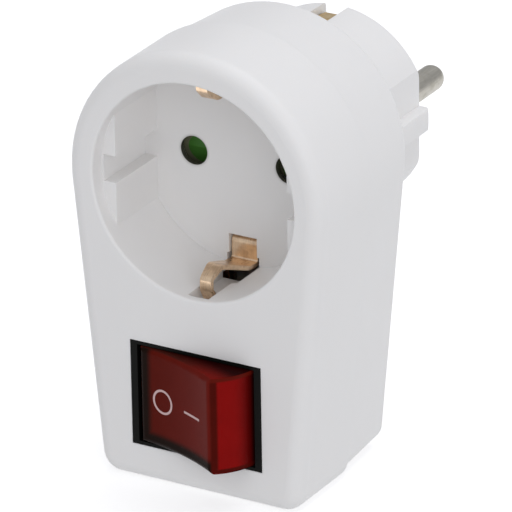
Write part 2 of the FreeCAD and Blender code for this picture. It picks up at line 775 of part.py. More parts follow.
def coil_spring(name, radius, wire, length, turns, placement):
    """A round wire wound up the Z axis, swept along pairs of arcs, a pair to each quarter turn."""
    climb = (length - wire) / turns
    lean = climb / (2 * math.pi * radius)

    def stop(turn):
        angle = 2 * math.pi * turn
        point = Vector(radius * math.cos(angle), radius * math.sin(angle), wire / 2 + climb * turn)
        return point, Vector(-math.sin(angle), math.cos(angle), lean).normalize()

    arcs = []
    quarters = round(turns * 4)
    for index in range(quarters):
        start, heading = stop(turns * index / quarters)
        end, leaving = stop(turns * (index + 1) / quarters)
        chord = end - start
        along = chord.dot(heading + leaving)
        spread = 2 * (1 - heading.dot(leaving))
        reach = (-along + math.sqrt(along**2 + spread * chord.dot(chord))) / spread
        joint = (start + end + (heading - leaving) * reach) / 2
        arcs.append(Part.Arc(*arc_points(start, heading, joint)))
        arcs.append(Part.Arc(*reversed(arc_points(end, -leaving, joint))))
    path = Part.Wire([arc.toShape() for arc in arcs])
    start, heading = stop(0)
    profile = Part.Wire(Part.Circle(start, heading, wire / 2).toShape())
    spring = path.makePipeShell([profile], True, False)
    points = [stop(turns * index / 200)[0] for index in range(201)]
    apart = round(200 / turns / 2)
    pairs = ((one, two) for index, one in enumerate(points) for two in points[index + apart:])
    print(name, "least gap to itself", round(min((two - one).Length for one, two in pairs) - wire, 3))
    return solid_node(name, spring, placement)


# The earth clips: each rises from the floor, bows over and tucks into its slot
def make_earth_clip(name, side, bow):
    wall = s.well_radius
    shelf = well_floor + s.clip_shelf_depth
    nose = front + s.clip_nose_depth
    tip = front + s.clip_front_depth
    path = [
        (clip_foot_y, earth_rivet_distance - s.earth_rivet_edge),
        (clip_foot_y, clip_leg),
        (shelf, clip_leg),
        (shelf, wall - s.clip_back_gap),
        (shelf - s.clip_heel, wall - s.clip_back_gap - s.clip_heel_drop),
        (nose, wall - bow),
        (tip, wall - s.clip_curl_height),
        (tip, wall - s.clip_lip_height),
        (tip + s.clip_tail_depth, wall + s.clip_tail_height),
    ]
    bends = [s.earth_bend] * 4 + [s.clip_nose_bend] + [s.earth_bend] * 2
    path = [(y, axis + side * height) for y, height in path]
    strip = folded_strip(path, s.clip_width, s.earth_sheet, bends)
    half = s.clip_width / 2
    taper = front + s.clip_taper_start
    plan = [(half, taper), (s.clip_nose_width / 2, nose), (s.clip_tip_width / 2, tip - s.earth_sheet)]
    plan += [(half + s.overcut, tip - s.earth_sheet), (half + s.overcut, taper)]
    trims = []
    for hand in (-1, 1):
        points = [Vector(hand * x, y, axis) for x, y in plan]
        outside = Part.Face(Part.makePolygon(points + points[:1]))
        trims.append(outside.extrude(Vector(0, 0, side * (slot_reach + s.overcut))))
    trims.append(earth_rivet_hole(side))
    return solid_node(name, strip.cut(trims))


def earth_rivet_hole(side):
    height = axis + side * earth_rivet_distance
    start = Vector(0, clip_foot_y - s.earth_sheet, height)
    length = strip_foot_y + s.earth_sheet - start.y
    return Part.makeCylinder(s.earth_rivet_radius + s.running_gap, length, start, y_axis)


def make_earth_parts():
    make_earth_clip("earth_clip_upper", 1, s.upper_clip_bow)
    make_earth_clip("earth_clip_lower", -1, s.lower_clip_bow)
    half_length = earth_rivet_distance + s.strap_overhang
    corner = Vector(-s.earth_strip_width / 2, strap_front, axis - half_length)
    strap = Part.makeBox(s.earth_strip_width, s.strap_thickness, 2 * half_length, corner)
    solid_node("earth_strap", strap.cut([earth_rivet_hole(side) for side in (-1, 1)]))

    stack_front = clip_foot_y - s.earth_sheet / 2 - s.running_gap
    stack_rear = strip_foot_y + s.earth_sheet / 2 + s.running_gap
    rivets = []
    for side in (-1, 1):
        height = axis + side * earth_rivet_distance
        start = Vector(0, stack_front - s.earth_rivet_head / 2, height)
        length = stack_rear - stack_front + s.earth_rivet_head
        shank = Part.makeCylinder(s.earth_rivet_radius, length, start, y_axis)
        heads = []
        for y in (stack_front - s.earth_rivet_head, stack_rear):
            start = Vector(0, y, height)
            heads.append(Part.makeCylinder(s.earth_rivet_head_radius, s.earth_rivet_head, start, y_axis))
        rivets.append(shank.fuse(heads).removeSplitter())
    solid_node("earth_rivets", Part.makeCompound(rivets))

    end = -s.plug_strip_end_gap
    start = end - s.groove_length + 2 * s.plug_strip_end_gap
    for name, side in (("plug_earth_strip_upper", 1), ("plug_earth_strip_lower", -1)):
        foot = side * axis + earth_rivet_distance - s.earth_rivet_edge
        path = [
            (strip_foot_y, foot),
            (strip_foot_y, strip_lie),
            (start, strip_lie),
            (start + s.plug_strip_lead, strip_lie + s.plug_strip_bow),
            (end - s.plug_strip_lead, strip_lie + s.plug_strip_bow),
            (end, strip_lie),
        ]
        path = [(y, side * height) for y, height in path]
        strip = folded_strip(path, s.earth_strip_width, s.earth_sheet, s.earth_bend)
        solid_node(name, strip.cut(earth_rivet_hole(side)))


# The contact carrier holds the shutter's pivot, the receptacles and the earth parts
def make_contact_carrier():
    y = carrier_front
    plate = rod("carrier_plate", 0.0, y, axis, carrier_radius, s.carrier_web)
    ring = rod("carrier_ring", 0.0, floor_back + s.running_gap, axis, carrier_radius, y - floor_back)
    room_start = floor_back - s.overcut
    room = rod("carrier_ring_room", 0.0, room_start, axis, carrier_radius - s.carrier_rim, y - room_start)
    ring_cut = cut("carrier_rim", ring, [room])
    boss_radius = s.shutter_hub_radius + s.carrier_boss_wall
    boss = rod("carrier_boss", 0.0, y, axis, boss_radius, s.carrier_boss_depth)
    pieces = [plate, ring_cut, boss]
    depth = inner_rear - y - s.running_gap
    tower = s.contact_chamber + 2 * s.contact_wall
    tower_depth = s.contact_length + s.carrier_web + 2 * s.fit_gap
    for side in (-1, 1):
        pieces.append(slab(f"carrier_tower_{side + 1}", tower, tower, y, tower_depth, side * pin_x, axis))
    leg_circle = carrier_radius - s.carrier_leg_radius - s.running_gap
    for index, turn in enumerate((15, 70, 110, 165, 195, 250, 290, 345)):
        x = leg_circle * math.cos(math.radians(turn))
        z = axis + leg_circle * math.sin(math.radians(turn))
        pieces.append(rod(f"carrier_leg_{index}", x, y, z, s.carrier_leg_radius, depth))
    solid = fused("carrier_solid", pieces)
    tools = []
    through = (y - s.overcut, s.carrier_web + 2 * s.overcut)
    chamber = (y + s.carrier_web, tower_depth)
    room = s.contact_chamber
    for side in (-1, 1):
        x = side * pin_x
        tools.append(rod(f"carrier_pin_hole_{side + 1}", x, through[0], axis, s.pin_hole_radius, through[1]))
        tools.append(slab(f"carrier_chamber_{side + 1}", room, room, *chamber, x, axis))
        width = s.contact_tab + s.contact_wall
        tools.append(slab(f"carrier_tab_slot_{side + 1}", width, room, *chamber, x, axis - room / 2))
        leg = axis + side * clip_leg
        slot_width = s.clip_width + 2 * s.slide_gap
        tools.append(slab(f"carrier_clip_slot_{side + 1}", slot_width, 2 * s.earth_sheet, *through, 0.0, leg))
    tools.append(rod("carrier_spring_room", 0.0, y - 0.01, axis, s.shutter_hub_radius, s.shutter_spring_room))
    hollow = cut("carrier_hollowed", solid, tools)
    pin_length = y - floor_back + s.pivot_sink
    pin = rod("shutter_pivot_pin", 0.0, floor_back + s.fit_gap, axis, s.pivot_radius, pin_length)
    pads = []
    pad_y = well_floor + s.clip_shelf_depth + s.earth_sheet / 2 + s.fit_gap
    for side in (-1, 1):
        middle = axis + side * (clip_leg + s.earth_sheet / 2 + s.slide_gap + s.clip_pad_height / 2)
        pad = (s.clip_width - 2 * s.fit_gap, s.clip_pad_height, pad_y, y + s.carrier_web / 2 - pad_y)
        pads.append(slab(f"clip_pad_{side + 1}", *pad, 0.0, middle))
    keep(fused("carrier_with_pin", [hollow, pin] + pads), "contact_carrier")


def make_shutter():
    y = floor_back + s.slide_gap
    hub = rod("shutter_hub", 0.0, y, axis, s.shutter_hub_radius, s.shutter_thickness)
    outer = rod("shutter_disc", 0.0, y, axis, s.shutter_radius, s.shutter_thickness)
    reach = 1.3 * s.shutter_radius
    half = math.radians(s.shutter_wing_angle / 2)
    edge = Vector(reach * math.cos(half), 0, reach * math.sin(half))
    corners = [(0, axis), (edge.x, axis + edge.z), (edge.x, axis - edge.z)]
    sectors = []
    for side in (-1, 1):
        points = [Vector(side * x, y, z) for x, z in corners]
        face = Part.Face(Part.makePolygon(points + points[:1]))
        wedge = face.extrude(Vector(0, s.shutter_thickness, 0))
        sector = doc.addObject("Part::Feature", f"wing_sector_{side + 1}")
        sector.Shape = wedge
        sectors.append(sector)
    both = fused("wing_sectors", sectors)
    wings = doc.addObject("Part::MultiCommon", "shutter_wings")
    wings.Shapes = [outer, both]
    blank = fused("shutter_blank", [hub, wings])
    ramps = []
    for side in (-1, 1):
        ramp = doc.addObject("Part::Box", f"wing_ramp_{side + 1}")
        bind(ramp, "Length", s.shutter_radius)
        bind(ramp, "Width", s.shutter_thickness)
        bind(ramp, "Height", s.shutter_radius)
        turn = Rotation(Vector(1, 0, 0), -side * s.shutter_ramp_angle)
        middle = side * (s.shutter_radius / 2 + s.shutter_ramp_start)
        base = Vector(middle, y, axis + side * s.shutter_ramp_offset)
        drop = 0 if side > 0 else -s.shutter_radius
        corner = turn.multVec(Vector(-s.shutter_radius / 2, -s.shutter_thickness, drop))
        ramp.Placement = Placement(base + corner, turn)
        ramps.append(ramp)
    bore_length = s.shutter_thickness + 2 * s.overcut
    bore = rod("shutter_bore", 0.0, y - s.overcut, axis, s.pivot_radius + s.running_gap, bore_length)
    keep(cut("shutter_cut", blank, ramps + [bore]), "child_shutter")


# Line pins, receptacles and the bars between them and the switch
def make_pin(name, side):
    x = side * pin_x
    shaft_length = s.pin_length + s.pin_relief_depth - s.pin_radius
    shaft = rod(f"{name}_shaft", x, -s.pin_relief_depth, 0.0, s.pin_radius, shaft_length)
    ball = doc.addObject("Part::Sphere", f"{name}_tip")
    place(ball, x, s.pin_length - s.pin_radius, 0.0)
    bind(ball, "Radius", s.pin_radius)
    shank_end = s.pin_shank_length + s.terminal_thickness + s.fit_gap
    shank_length = shank_end + s.pin_head_thickness / 2
    shank = rod(f"{name}_shank", x, -shank_length, 0.0, s.pin_shank_radius, shank_length)
    head_start = -shank_end - s.pin_head_thickness
    head = rod(f"{name}_head", x, head_start, 0.0, s.pin_head_radius, s.pin_head_thickness)
    keep(fused(f"{name}_solid", [shaft, ball, shank, head]), name)


def make_receptacle(name, side):
    x = side * pin_x
    y = carrier_front + s.carrier_web + s.fit_gap
    bore_radius = s.pin_radius + s.running_gap
    tube = rod(f"{name}_tube", x, y, axis, bore_radius + s.contact_wall, s.contact_length)
    length = s.contact_tab_length
    tab_z = axis - s.pin_radius - s.contact_tab_root - length / 2
    tab = slab(f"{name}_tab", s.contact_tab, length, y + s.contact_tab_start, s.contact_wall, x, tab_z)
    whole = fused(f"{name}_blank", [tube, tab])
    start = y - s.overcut
    through = s.contact_length + 2 * s.overcut
    bore = rod(f"{name}_bore", x, start, axis, bore_radius, through)
    reach = bore_radius + s.contact_wall + s.overcut
    slit = slab(f"{name}_slit", s.contact_slit, reach, start, through, x, axis + reach / 2)
    keep(cut(f"{name}_cut", whole, [bore, slit]), name)


def make_bars():
    width = s.bar_width
    half = width / 2
    t = s.terminal_thickness
    plug_plane = inner_rear - s.plug_bar_depth
    tab_rear = carrier_front + s.carrier_web + s.fit_gap + s.contact_tab_start + s.contact_wall
    contact_y = tab_rear + s.running_gap
    upper = switch_axis + s.pole_offset
    lower = switch_axis - s.pole_offset
    slot_width = t + 2 * s.fit_gap
    slot_height = s.terminal_tail_width + 2 * s.fit_gap
    slot_depth = t + 2 * s.overcut

    # a bar behind each pin's head runs down and across to its line terminal
    pin_plate_y = -s.pin_shank_length - t / 2 - s.running_gap
    for name, side, pole in (("plug_bar_left", -1, upper), ("plug_bar_right", 1, lower)):
        x = side * pin_x
        path = [(pin_plate_y, width), (pin_plate_y, -s.plug_bar_drop)]
        path += [(plug_plane, -s.plug_bar_drop), (plug_plane, pole - half)]
        fold = folded_strip(path, width, t, s.earth_bend, x)
        ring = Part.makeCylinder(s.pin_head_radius, t, Vector(x, pin_plate_y - t / 2, 0), y_axis)
        ends = sorted((x + side * half, -side * s.plug_bar_overlap))
        corner = Vector(ends[0], plug_plane - t / 2, pole - half)
        arm = Part.makeBox(ends[1] - ends[0], t, width, corner)
        hole_start = Vector(x, pin_plate_y - slot_depth / 2, 0)
        hole = Part.makeCylinder(s.pin_shank_radius + s.running_gap, slot_depth, hole_start, y_axis)
        corner = Vector(-slot_width / 2, plug_plane - slot_depth / 2, pole - slot_height / 2)
        slot = Part.makeBox(slot_width, slot_depth, slot_height, corner)
        solid_node(name, fold.fuse([ring, arm]).cut([hole, slot]).removeSplitter())

    # a flat bar behind each receptacle's tab runs down to its load terminal
    load_x = -s.terminal_offset
    top = axis - s.pin_radius - s.contact_wall - s.running_gap - s.slide_gap
    near = -pin_x + half
    drop = [(-pin_x - half, top), (near, top), (near, upper + half), (load_x + half, upper + half)]
    drop += [(load_x + half, upper - half), (-pin_x - half, upper - half)]
    low = lower - s.contact_bar_drop
    far = pin_x - half
    run = [(far, top), (pin_x + half, top), (pin_x + half, low), (load_x - half, low)]
    run += [(load_x - half, lower + half), (load_x + half, lower + half)]
    run += [(load_x + half, low + width), (far, low + width)]
    for name, corners, pole in (("contact_bar_left", drop, upper), ("contact_bar_right", run, lower)):
        plate = plan_plate(corners, contact_y, t)
        corner = Vector(load_x - slot_width / 2, contact_y - s.overcut, pole - slot_height / 2)
        slot = Part.makeBox(slot_width, slot_depth, slot_height, corner)
        solid_node(name, plate.cut(slot))
    return plug_plane + t / 2, contact_y + t


# The switch: frame, rocker with its plungers, see-saw arms and terminals
def make_switch_body():
    width = s.switch_width - 2 * s.fit_gap
    height = s.switch_height - 2 * s.fit_gap
    block = slab("switch_block", width, height, front, s.switch_depth, 0.0, switch_axis)
    flange = slab(
        "switch_flange",
        width + 2 * s.switch_flange,
        s.switch_flange_height,
        front + s.face_thickness + s.running_gap,
        s.switch_flange_thickness,
        0.0,
        switch_axis,
    )
    whole = fused("switch_outside", [block, flange])
    room_start = front - s.overcut
    room_size = (switch_room_width, switch_room_height)
    room = slab("switch_room", *room_size, room_start, switch_floor_y - room_start, 0.0, switch_axis)
    pin_room = rocker_height + 2 * s.rocker_pin_length + 2 * s.rocker_side_gap
    pivots = rod(
        "switch_pivot_holes",
        0.0,
        rocker_pivot,
        switch_axis - pin_room / 2,
        s.rocker_pin_radius + s.running_gap,
        pin_room,
        Vector(0, 0, 1),
    )
    tools = [room, pivots]
    slot_size = (s.terminal_thickness + 2 * s.fit_gap, s.terminal_width + 2 * s.fit_gap)
    slot_start = switch_floor_y - s.overcut / 2
    for row in (-1, 1):
        z = switch_axis + row * s.pole_offset
        for x, word in ((0.0, "line"), (-s.terminal_offset, "load")):
            name = f"{word}_tail_slot_{row + 1}"
            tools.append(slab(name, *slot_size, slot_start, s.switch_floor + s.overcut, x, z))
    hollow = cut("switch_hollow", whole, tools)

    # a wall parts the poles, and a stop under each arm's free end holds it off the floor
    sink = 2 * s.fit_gap
    wall_start = switch_floor_y - s.switch_partition_depth
    wall_size = (s.switch_partition_length, s.switch_partition)
    wall = slab("pole_partition", *wall_size, wall_start, s.switch_partition_depth + sink, 0.0, switch_axis)
    ribs = [wall]
    for row in (-1, 1):
        z = switch_axis + row * s.pole_offset
        size = (s.arm_stop_width, s.arm_width)
        start = switch_floor_y - s.arm_stop_height
        depth = s.arm_stop_height + sink
        ribs.append(slab(f"arm_stop_{row + 1}", *size, start, depth, s.terminal_offset, z))
    keep(fused("switch_whole", [hollow] + ribs), "switch_body")


def rocker_point(u, v):
    turn = math.radians(-s.rocker_tilt)
    x = u * math.cos(turn) + v * math.sin(turn)
    y = u * math.sin(turn) - v * math.cos(turn)
    return Vector(x, rocker_pivot + y, 0)


def rocker_block(inset, height):
    """The rocker's section, drawn in its pressed position, extruded to this height."""
    radius = rocker_radius - inset
    low = math.radians(-s.rocker_skirt_angle)
    crest = math.asin(s.rocker_rise / rocker_radius) - (inset / radius) * 1.1
    dish = s.rocker_rise - s.rocker_dish - inset

    def on_arc(angle, side):
        return rocker_point(side * radius * math.cos(angle), radius * math.sin(angle))

    middle = (low + crest) / 2
    right = Part.Arc(on_arc(low, 1), on_arc(middle, 1), on_arc(crest, 1)).toShape()
    top = Part.Arc(on_arc(crest, 1), rocker_point(0, dish), on_arc(crest, -1)).toShape()
    left = Part.Arc(on_arc(crest, -1), on_arc(middle, -1), on_arc(low, -1)).toShape()
    base = Part.makeLine(on_arc(low, -1), on_arc(low, 1))
    face = Part.Face(Part.Wire([right, top, left, base]))
    face.translate(Vector(0, 0, switch_axis - height / 2))
    return face.extrude(Vector(0, 0, height))


def make_rocker():
    outer = rocker_block(0.0, rocker_height)
    wanted = []
    for edge in outer.Edges:
        bounds = edge.BoundBox
        rear_most = max(vertex.Y for vertex in edge.Vertexes)
        if rear_most < rocker_pivot - 1.0:
            wanted.append(edge)
    outer = outer.makeFillet(s.rocker_edge_radius, wanted)
    inner = rocker_block(s.rocker_wall, rocker_height - 2 * s.rocker_wall)
    direction = rocker_point(0, -1) - rocker_point(0, 0)
    for depth in (1.0, 2.0):
        lower = inner.copy()
        lower.translate(direction * depth)
        inner = inner.fuse(lower)
    shell = outer.cut(inner)
    guides = []
    bores = []
    bore_radius = s.plunger_radius + s.fit_gap
    guide_top = s.rocker_rise - s.rocker_dish - s.rocker_wall / 2
    bore_length = s.plunger_spring_room + s.guide_reach + s.overcut
    for row in (-1, 1):
        offset = Vector(0, 0, switch_axis + row * s.pole_offset)
        start = rocker_point(0, guide_top) + offset
        length = guide_top + s.guide_reach
        guides.append(Part.makeCylinder(bore_radius + s.guide_wall, length, start, direction))
        start = rocker_point(0, s.plunger_spring_room) + offset
        bores.append(Part.makeCylinder(bore_radius, bore_length, start, direction))
    pins = []
    sink = s.rocker_wall / 2
    for end in (-1, 1):
        start = Vector(0, rocker_pivot, switch_axis + end * (rocker_height / 2 - sink))
        length = s.rocker_pin_length + sink
        pins.append(Part.makeCylinder(s.rocker_pin_radius, length, start, Vector(0, 0, end)))
    solid_node("rocker", shell.fuse(guides).cut(bores).fuse(pins).removeSplitter())
    for name, row in (("plunger_upper", 1), ("plunger_lower", -1)):
        offset = Vector(0, 0, switch_axis + row * s.pole_offset)
        tip = s.plunger_radius
        top = rocker_point(0, s.plunger_length - s.plunger_reach) + offset
        stem = Part.makeCylinder(s.plunger_radius, s.plunger_length - tip, top, direction)
        ball = Part.makeSphere(tip, rocker_point(0, tip - s.plunger_reach) + offset)
        solid_node(name, stem.fuse(ball).removeSplitter())
    room = s.plunger_spring_room + s.plunger_reach - s.plunger_length - 2 * s.running_gap
    for name, row in (("plunger_spring_upper", 1), ("plunger_spring_lower", -1)):
        seat = rocker_point(0, s.plunger_spring_room - s.running_gap)
        seat += Vector(0, 0, switch_axis + row * s.pole_offset)
        outside = Part.makeCylinder(s.plunger_coil_radius + s.plunger_wire / 2, room, seat, direction)
        inside = Part.makeCylinder(s.plunger_coil_radius - s.plunger_wire / 2, room, seat, direction)
        solid_node(name, outside.cut(inside))


def make_arms():
    lean = math.radians(s.arm_trough_angle)
    bend_centre = s.arm_bend / math.cos(lean)
    pivot_y = rocker_pivot + s.plunger_reach + s.fit_gap + s.arm_thickness / 2 - bend_centre
    rise = s.arm_trough_half_width * math.tan(lean)
    path = [(-s.arm_half_length, 0), (-s.arm_flat_start, -rise), (-s.arm_trough_half_width, -rise), (0, 0)]
    path += [(-u, v) for u, v in reversed(path[:3])]
    for name, row in (("contact_arm_upper", 1), ("contact_arm_lower", -1)):
        strip = folded_strip(path, s.arm_width, s.arm_thickness, s.arm_bend)
        strip.rotate(Vector(), Vector(0, 1, 0), -90)
        strip.rotate(Vector(), Vector(0, 0, 1), -90)
        sink = 2 * s.fit_gap
        length = sink + s.arm_thickness / 2 + s.rivet_height
        rivet = Part.makeCylinder(s.rivet_radius, length, Vector(-s.terminal_offset, -sink, 0), y_axis)
        arm = strip.fuse(rivet).removeSplitter()
        arm.translate(Vector(0, bend_centre, 0))
        arm.rotate(Vector(), Vector(0, 0, 1), s.arm_tilt)
        arm.translate(Vector(0, pivot_y, switch_axis + row * s.pole_offset))
        solid_node(name, arm)
    return pivot_y, bend_centre


def make_terminals(pivot_y, bend_centre, line_end, load_end):
    t = s.terminal_thickness
    width = s.terminal_width
    tail_width = s.terminal_tail_width
    floor_y = switch_floor_y
    closed = math.radians(s.arm_tilt)

    def at(x, y, z, across, high):
        return Vector(x - across / 2, y, z - high / 2)

    def tail(x, z, end):
        length = end + s.terminal_tail_stand - floor_y
        return Part.makeBox(t, length, tail_width, at(x, floor_y, z, t, tail_width))

    for word, row in (("upper", 1), ("lower", -1)):
        z = switch_axis + row * s.pole_offset
        top = pivot_y + s.arm_bend + s.arm_thickness / 2 + s.arm_pivot_gap
        blade = Part.makeBox(t, floor_y + s.switch_floor - top, width, at(0, top, z, t, width))
        foot = Part.makeBox(width, t, width, at(0, floor_y - t, z, width, width))
        solid_node(f"line_terminal_{word}", blade.fuse([tail(0, z, line_end), foot]).removeSplitter())

        # the load terminal's rivet ends just short of the arm's, measured at that one's outer edge
        x = -s.terminal_offset
        face = bend_centre + s.arm_thickness / 2 + s.rivet_height
        under = pivot_y + (s.terminal_offset + s.rivet_radius) * math.sin(closed) + face * math.cos(closed)
        start = Vector(x + s.fit_gap, under + s.closed_gap, z)
        rivet = Part.makeCylinder(s.rivet_radius, floor_y - start.y, start, y_axis)
        sink = 2 * s.fit_gap
        blade = Part.makeBox(t, s.switch_floor + sink, width, at(x, floor_y - sink, z, t, width))
        foot = Part.makeBox(width, t, width, at(x, floor_y - t, z, width, width))
        solid_node(f"load_terminal_{word}", blade.fuse([tail(x, z, load_end), foot, rivet]).removeSplitter())


def make_lamp():
    start = switch_floor_y - s.fit_gap - s.lamp_length
    bulb = rod("lamp_tube", s.lamp_distance, start, switch_axis, s.lamp_radius, s.lamp_length)
    ball = doc.addObject("Part::Sphere", "lamp_end")
    place(ball, s.lamp_distance, start, switch_axis)
    bind(ball, "Radius", s.lamp_radius)
    keep(fused("lamp_whole", [bulb, ball]), "neon_lamp")
    start = switch_floor_y - s.fit_gap - s.resistor_length
    length = s.resistor_length
    body = rod("resistor_body", -s.resistor_distance, start, switch_axis, s.resistor_radius, length)
    keep(body, "lamp_resistor")


def make_shutter_spring():
    y = floor_back + s.slide_gap + s.shutter_thickness + s.running_gap
    room = carrier_front + s.shutter_spring_room - s.running_gap - y
    lie = Placement(Vector(0, y, axis), Rotation(Vector(0, 0, 1), y_axis))
    coil_spring("shutter_spring", s.shutter_coil_radius, s.shutter_wire, room, s.shutter_coil_turns, lie)


def make_screws():
    screws = []
    for x, z in screw_spots:
        seat = rear - s.screw_sink
        head = Part.makeCylinder(s.screw_head_radius, s.screw_head_height, Vector(x, seat, z), y_axis)
        top = seat + s.screw_head_height
        head = head.makeFillet(s.screw_head_edge, [edge for edge in head.Edges if lies_at(edge, top)])
        shank = Part.makeCylinder(s.screw_radius, s.screw_length, Vector(x, seat, z), -y_axis)
        recess = []
        cross = (s.screw_cross_length, s.screw_cross_width)
        for length, height in (cross, cross[::-1]):
            corner = Vector(x - length / 2, top - s.screw_cross_depth, z - height / 2)
            recess.append(Part.makeBox(length, s.screw_cross_depth + s.overcut, height, corner))
        screws.append(head.fuse(shank).cut(recess).removeSplitter())
    solid_node("case_screws", Part.makeCompound(screws))


doc.recompute()
make_front_cover()
make_rear_housing()
make_earth_parts()
make_contact_carrier()
make_shutter()
make_shutter_spring()
make_pin("plug_pin_left", -1)
make_pin("plug_pin_right", 1)
make_receptacle("socket_contact_left", -1)
make_receptacle("socket_contact_right", 1)
line_end, load_end = make_bars()
make_switch_body()
make_rocker()
make_terminals(*make_arms(), line_end, load_end)
make_lamp()
make_screws()

doc.recompute()
os.makedirs("parts", exist_ok=True)
for item in doc.Objects:
    if "Invalid" in item.State or "Error" in item.State:
        raise RuntimeError(f"{item.Label} failed: {item.State}")
for node in nodes:
    if node.Shape.isNull() or not node.Shape.isValid():
        raise RuntimeError(f"{node.Label} has no valid shape")
    node.Shape.exportStep(f"parts/{node.Label}.step")
    print(node.Label, len(node.Shape.Solids), round(node.Shape.Volume, 1), node.Shape.BoundBox)
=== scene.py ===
import json
import math
import bmesh
import bpy
from mathutils import Matrix, Vector
from mathutils.bvhtree import BVHTree


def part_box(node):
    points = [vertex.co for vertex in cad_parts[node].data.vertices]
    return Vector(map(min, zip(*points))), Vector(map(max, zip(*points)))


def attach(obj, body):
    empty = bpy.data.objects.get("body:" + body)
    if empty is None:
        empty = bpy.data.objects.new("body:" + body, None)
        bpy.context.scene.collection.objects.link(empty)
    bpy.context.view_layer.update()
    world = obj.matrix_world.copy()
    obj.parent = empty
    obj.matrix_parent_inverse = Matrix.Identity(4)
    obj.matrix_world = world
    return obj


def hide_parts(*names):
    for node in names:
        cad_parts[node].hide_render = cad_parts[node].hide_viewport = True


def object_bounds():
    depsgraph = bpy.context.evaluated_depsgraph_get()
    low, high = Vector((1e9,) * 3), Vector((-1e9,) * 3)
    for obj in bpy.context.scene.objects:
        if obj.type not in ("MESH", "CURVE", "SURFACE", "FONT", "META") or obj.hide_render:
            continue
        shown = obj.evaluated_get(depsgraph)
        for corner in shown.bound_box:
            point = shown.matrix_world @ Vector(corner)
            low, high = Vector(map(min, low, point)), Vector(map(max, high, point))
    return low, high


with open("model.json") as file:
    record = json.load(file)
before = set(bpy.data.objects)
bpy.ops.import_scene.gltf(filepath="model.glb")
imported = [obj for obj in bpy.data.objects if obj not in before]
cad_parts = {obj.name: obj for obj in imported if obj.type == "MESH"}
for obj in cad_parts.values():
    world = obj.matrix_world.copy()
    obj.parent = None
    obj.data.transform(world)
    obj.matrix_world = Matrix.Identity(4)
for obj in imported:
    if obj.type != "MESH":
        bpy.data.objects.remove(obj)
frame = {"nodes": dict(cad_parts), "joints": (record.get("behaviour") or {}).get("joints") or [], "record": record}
cadLow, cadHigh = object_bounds()
nodes = frame["nodes"]
joints = {joint["name"]: joint for joint in frame["joints"]}
mounts = {mount["name"]: mount for mount in frame["record"]["mounts"]}
wellFloor = Vector(mounts["well_floor"]["pos_m"])
pinHoles = [Vector(mounts["pin_hole_" + side]["pos_m"]) for side in ("left", "right")]
rockerPivot = Vector(joints["rocker_rock"]["pos_m"])
rockerTravel = joints["rocker_rock"]["range_deg"][1]
rockerTilt = math.radians(rockerTravel / 2)  # at rest it leans to one side by half its travel
print("frame loaded:", len(nodes), "nodes")


# camera, at the photograph's own viewing angle
cameraValues = {
    "azimuth": 30.34,
    "elevation": 23.68,
    "roll": -0.95,
    "lens": 406.9,  # mm
    "sensor": 36,  # mm
    "distance": 1.0,
    "clip": (0.05, 20),
    "target": (0.0, -0.0416, wellFloor.z - 0.012),
    "shiftRight": 0.00584,
    "shiftDown": 0.0031,
}


def makeCamera(values):
    azimuth = math.radians(values["azimuth"])
    elevation = math.radians(values["elevation"])
    roll = math.radians(values["roll"])
    back = Vector((
        math.sin(azimuth) * math.cos(elevation),
        -math.cos(azimuth) * math.cos(elevation),
        math.sin(elevation),
    ))
    level = Vector((math.cos(azimuth), math.sin(azimuth), 0))
    upright = back.cross(level)
    right = level * math.cos(roll) + upright * math.sin(roll)
    up = upright * math.cos(roll) - level * math.sin(roll)
    aim = Vector(values["target"]) + right * values["shiftRight"] - up * values["shiftDown"]
    data = bpy.data.cameras.new("photoCamera")
    data.lens = values["lens"]
    data.sensor_width = values["sensor"]
    data.clip_start, data.clip_end = values["clip"]
    camera = bpy.data.objects.new("photoCamera", data)
    bpy.context.collection.objects.link(camera)
    turn = Matrix((right, up, back)).transposed().to_4x4()
    camera.matrix_world = Matrix.Translation(aim + back * values["distance"]) @ turn
    bpy.context.scene.camera = camera


makeCamera(cameraValues)
bpy.context.scene.view_settings.view_transform = "Standard"
print("camera set")


# small helpers for node trees
def addNode(tree, kind, inputs=None, **settings):
    node = tree.nodes.new("ShaderNode" + kind)
    for key, value in settings.items():
        setattr(node, key, value)
    for key, value in (inputs or {}).items():
        if isinstance(value, bpy.types.NodeSocket):
            tree.links.new(value, node.inputs[key])
        else:
            node.inputs[key].default_value = value
    return node


def newGroup(name, inputs, outputs):
    group = bpy.data.node_groups.new(name, "ShaderNodeTree")
    sockets = group.interface
    for label, kind, value in inputs:
        socket = sockets.new_socket(name=label, in_out="INPUT", socket_type="NodeSocket" + kind)
        socket.default_value = value
    for label, kind in outputs:
        sockets.new_socket(name=label, in_out="OUTPUT", socket_type="NodeSocket" + kind)
    given = group.nodes.new("NodeGroupInput").outputs
    result = group.nodes.new("NodeGroupOutput").inputs
    return group, given, result


def mixColor(tree, factor, first, second):
    inputs = {0: factor, 6: first, 7: second}  # the Mix node's own sockets for colours
    return addNode(tree, "Mix", inputs, data_type="RGBA").outputs[2]


def maths(tree, operation, first, second=0.0, third=0.0):
    inputs = {0: first, 1: second, 2: third}
    return addNode(tree, "Math", inputs, operation=operation).outputs[0]


def vectors(tree, operation, first, second):
    return addNode(tree, "VectorMath", {0: first, 1: second}, operation=operation).outputs[0]


def scaled(tree, vector, factor):
    return addNode(tree, "VectorMath", {0: vector, "Scale": factor}, operation="SCALE").outputs[0]


# soft step from 0 to 1
def ramp(tree, value, start, end):
    inputs = {0: value, 1: start, 2: end}
    return addNode(tree, "MapRange", inputs, interpolation_type="SMOOTHSTEP").outputs[0]


def noise(tree, spot, scale, detail=3.0, roughness=0.55):
    inputs = {"Vector": spot, "Scale": scale, "Detail": detail, "Roughness": roughness}
    return addNode(tree, "TexNoise", inputs).outputs[0]


